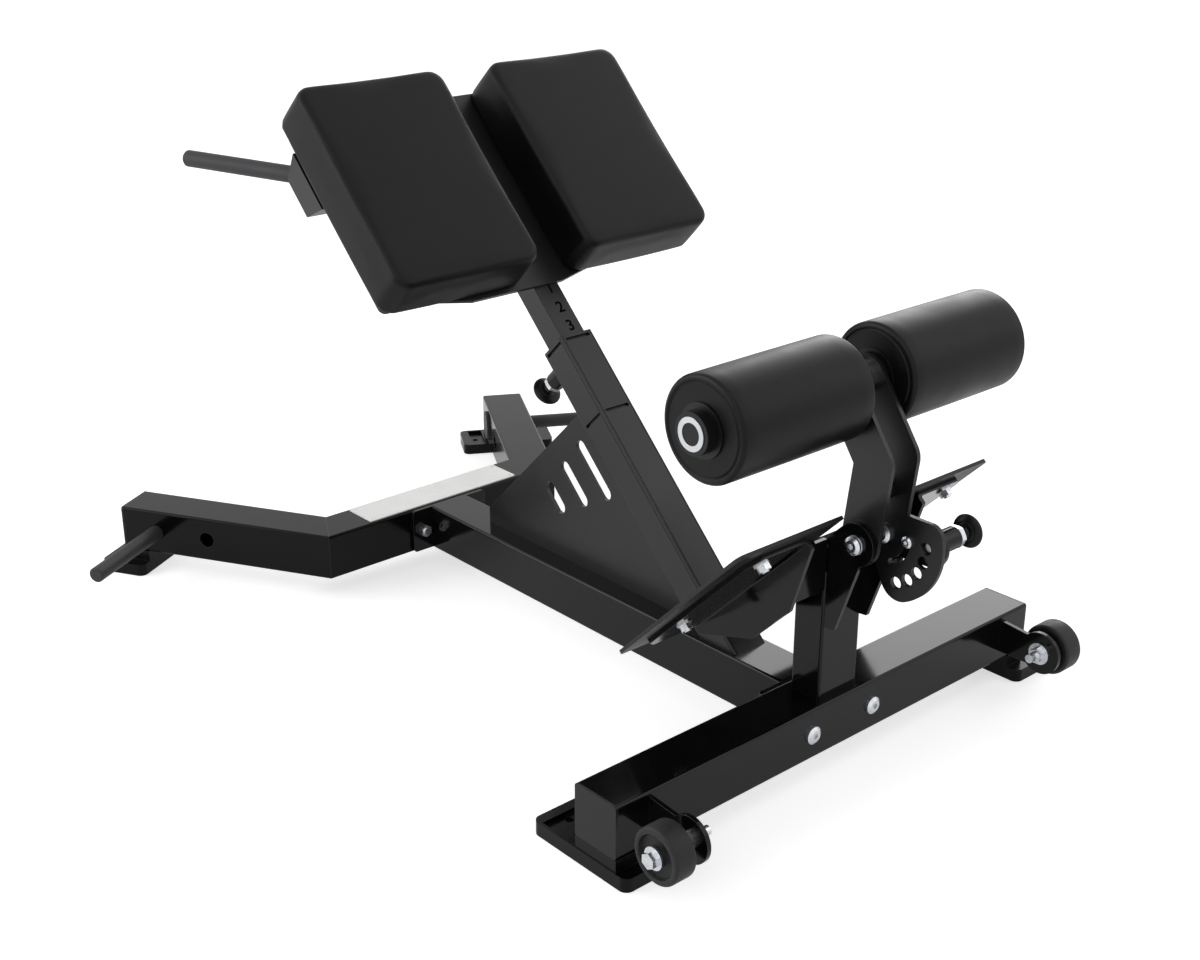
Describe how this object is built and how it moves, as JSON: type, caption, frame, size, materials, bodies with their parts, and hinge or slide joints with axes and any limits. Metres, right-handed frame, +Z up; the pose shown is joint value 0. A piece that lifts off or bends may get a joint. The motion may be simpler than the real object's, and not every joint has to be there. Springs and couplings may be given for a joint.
{
  "type": "hyperextension bench",
  "caption": "Hyperextension bench: hip pads and handles on a sliding inclined post, a sloped foot deck and a swinging foam ankle roller, on a V-shaped tube base with transport wheels.",
  "frame": {"origin": "on the floor under the middle of the rear crossmember", "axes": "+Z up; +Y from the foot deck towards the pads and the V base, the way the user faces; +X to the user's right"},
  "size_m": [1.1244, 1.4666, 0.8543],
  "materials": {
    "powder_coat": "satin",
    "deck_coat": "matte",
    "pin_steel": "satin",
    "cap_plastic": "matte",
    "foot_rubber": "matte",
    "wheel_rubber": "matte",
    "foam": "matte",
    "vinyl": "satin",
    "board": "matte",
    "zinc": "satin",
    "shaft_chrome": "polished",
    "plate_white": "satin"
  },
  "bodies": {
    "frame": {"rear_crossmember": "powder_coat", "spine_tube": "powder_coat", "spine_rear_flange": "powder_coat", "spine_front_flange": "powder_coat", "v_centre": "powder_coat", "v_wing_left": "powder_coat", "v_wing_right": "powder_coat", "tube_end_caps": "cap_plastic", "rear_foot_left": "foot_rubber", "rear_foot_right": "foot_rubber", "front_foot_left": "foot_rubber", "front_foot_right": "foot_rubber", "band_peg_left": "powder_coat", "band_peg_right": "powder_coat", "gusset_plate": "powder_coat", "outer_post": "powder_coat", "post_liner": "cap_plastic", "post_pin_housing": "pin_steel", "upright": "powder_coat", "side_plate_left": "powder_coat", "side_plate_right": "powder_coat", "pivot_cheek_left": "powder_coat", "pivot_cheek_right": "powder_coat", "arm_pin_housing": "pin_steel", "pivot_bolts": "zinc", "stop_bolt": "zinc", "foot_deck": "deck_coat", "deck_bracket_left": "powder_coat", "deck_bracket_right": "powder_coat", "deck_bolts": "zinc", "frame_bolts": "zinc", "wheel_bracket_left": "powder_coat", "wheel_bracket_right": "powder_coat", "wheel_axle_left": "zinc", "wheel_axle_right": "zinc", "blank_plate": "plate_white"},
    "pad_carriage": {"inner_post": "powder_coat", "carrier_plate": "powder_coat", "pad_bracket": "powder_coat", "handle_left": "powder_coat", "handle_right": "powder_coat", "pad_board_left": "board", "pad_board_right": "board", "hip_pad_left": "vinyl", "hip_pad_right": "vinyl", "pad_bolts": "zinc"},
    "roller_arm": {"arm_plate_left": "powder_coat", "arm_plate_right": "powder_coat", "arm_spacer": "powder_coat", "roller_shaft": "shaft_chrome", "shaft_collars": "cap_plastic", "shaft_plugs": "cap_plastic"},
    "roller_left_body": {"roller_core_left": "cap_plastic", "roller_foam_left": "foam"},
    "roller_right_body": {"roller_core_right": "cap_plastic", "roller_foam_right": "foam"},
    "post_pin_body": {"post_pin": "pin_steel"},
    "arm_pin_body": {"arm_pin": "pin_steel"},
    "wheel_left_body": {"wheel_left": "wheel_rubber"},
    "wheel_right_body": {"wheel_right": "wheel_rubber"}
  },
  "joints": [
    {"name": "pad_height", "type": "slide", "parent": "frame", "child": "pad_carriage", "axis": [0, 0.7071, 0.7071], "range_m": [-0.068, 0.136]},
    {"name": "arm_angle", "type": "hinge", "parent": "frame", "child": "roller_arm", "pos_m": [0, -0.07, 0.3583], "axis": [1, 0, 0], "range_deg": [-69, 0]},
    {"name": "roller_left_spin", "type": "hinge", "parent": "roller_arm", "child": "roller_left_body", "pos_m": [0, -0.0231, 0.5586], "axis": [1, 0, 0], "continuous": true},
    {"name": "roller_right_spin", "type": "hinge", "parent": "roller_arm", "child": "roller_right_body", "pos_m": [0, -0.0231, 0.5586], "axis": [1, 0, 0], "continuous": true},
    {"name": "wheel_left_spin", "type": "hinge", "parent": "frame", "child": "wheel_left_body", "pos_m": [0, -0.108, 0.0803], "axis": [1, 0, 0], "continuous": true},
    {"name": "wheel_right_spin", "type": "hinge", "parent": "frame", "child": "wheel_right_body", "pos_m": [0, -0.108, 0.0803], "axis": [1, 0, 0], "continuous": true},
    {"name": "post_pin_travel", "type": "slide", "parent": "frame", "child": "post_pin_body", "axis": [0, 0.7071, -0.7071], "range_m": [-0.014, 0]},
    {"name": "arm_pin_travel", "type": "slide", "parent": "frame", "child": "arm_pin_body", "axis": [1, 0, 0], "range_m": [-0.014, 0]}
  ]
}
